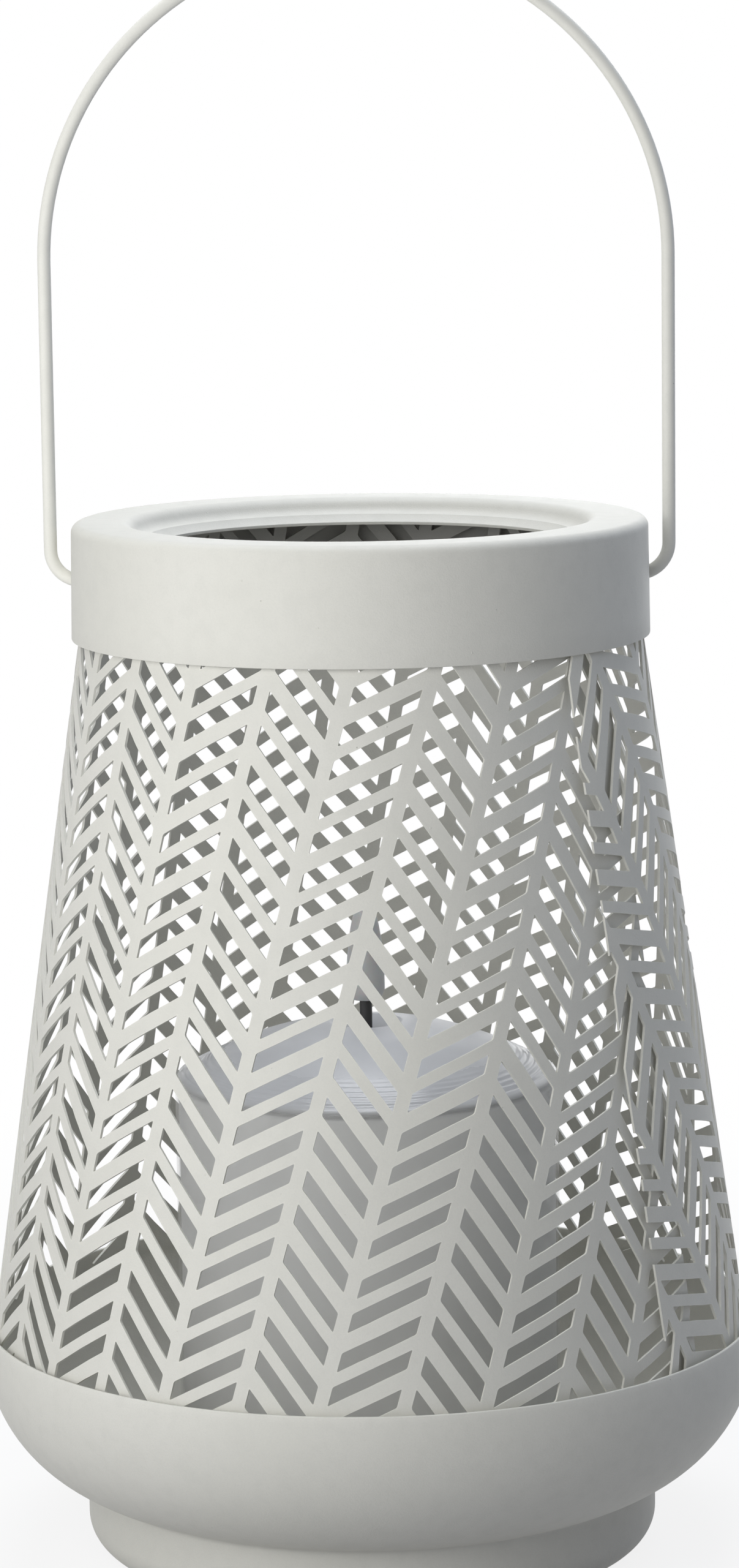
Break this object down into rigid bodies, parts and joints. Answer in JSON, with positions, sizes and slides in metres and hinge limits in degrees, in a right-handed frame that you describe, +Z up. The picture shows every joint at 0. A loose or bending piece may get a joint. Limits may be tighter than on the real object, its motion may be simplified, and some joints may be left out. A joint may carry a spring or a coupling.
{
  "type": "table lantern lamp",
  "caption": "Sheet-steel table lantern with a herringbone-perforated conical shade, spun bowl base, pressed collar, swinging wire bail and a battery pillar candle inside.",
  "frame": {"origin": "centre of the foot's standing ring, on the surface that the lantern stands on", "axes": "+Z up along the lantern's axis; X along the bail's pivots; -Y is the front, as pictured"},
  "size_m": [0.1494, 0.1494, 0.3081],
  "materials": {
    "powder_coat": "fine matte off-white powder coat",
    "clear_plastic": "clear moulded plastic",
    "frosted_plastic": "frosted",
    "flame_plastic": "translucent frosted",
    "pale_plastic": "moulded",
    "black_plastic": "moulded",
    "red_insulation": "wire insulation",
    "board_laminate": "circuit board",
    "led_lens": "moulded lens",
    "plated_steel": "nickel plated",
    "cell_jacket": "plain cell jacket"
  },
  "bodies": {
    "lantern": {"base_bowl": "powder_coat", "shade": "powder_coat", "collar": "powder_coat"},
    "bail": {"bail_handle": "powder_coat"},
    "candle": {"candle_shell": "clear_plastic", "candle_core": "frosted_plastic", "candle_base": "pale_plastic", "battery_holder": "pale_plastic", "battery_1": "cell_jacket", "battery_2": "cell_jacket", "contact_spring": "plated_steel", "contact_plate": "plated_steel", "switch_body": "black_plastic", "circuit_board": "board_laminate", "board_screw_1": "plated_steel", "board_screw_2": "plated_steel", "led_wire_1": "red_insulation", "led_wire_2": "black_plastic", "switch_wire_1": "red_insulation", "switch_wire_2": "black_plastic", "wick_stem": "black_plastic", "led": "led_lens", "flame": "flame_plastic"},
    "cover": {"battery_cover": "pale_plastic", "contact_bridge": "plated_steel"},
    "knob": {"switch_knob": "pale_plastic"}
  },
  "joints": [
    {"name": "bail_swing", "type": "hinge", "parent": "lantern", "child": "bail", "pos_m": [0, 0, 0.1882], "axis": [1, 0, 0], "range_deg": [-140, 140]},
    {"name": "candle_lift", "type": "slide", "parent": "lantern", "child": "candle", "axis": [0, 0, 1], "range_m": [0, 0.17]},
    {"name": "cover_twist", "type": "hinge", "parent": "candle", "child": "cover", "pos_m": [0, 0, 0.004], "axis": [0, 0, 1], "range_deg": [0, 25]},
    {"name": "switch_slide", "type": "slide", "parent": "candle", "child": "knob", "axis": [1, 0, 0], "range_m": [-0.002, 0.002]}
  ]
}
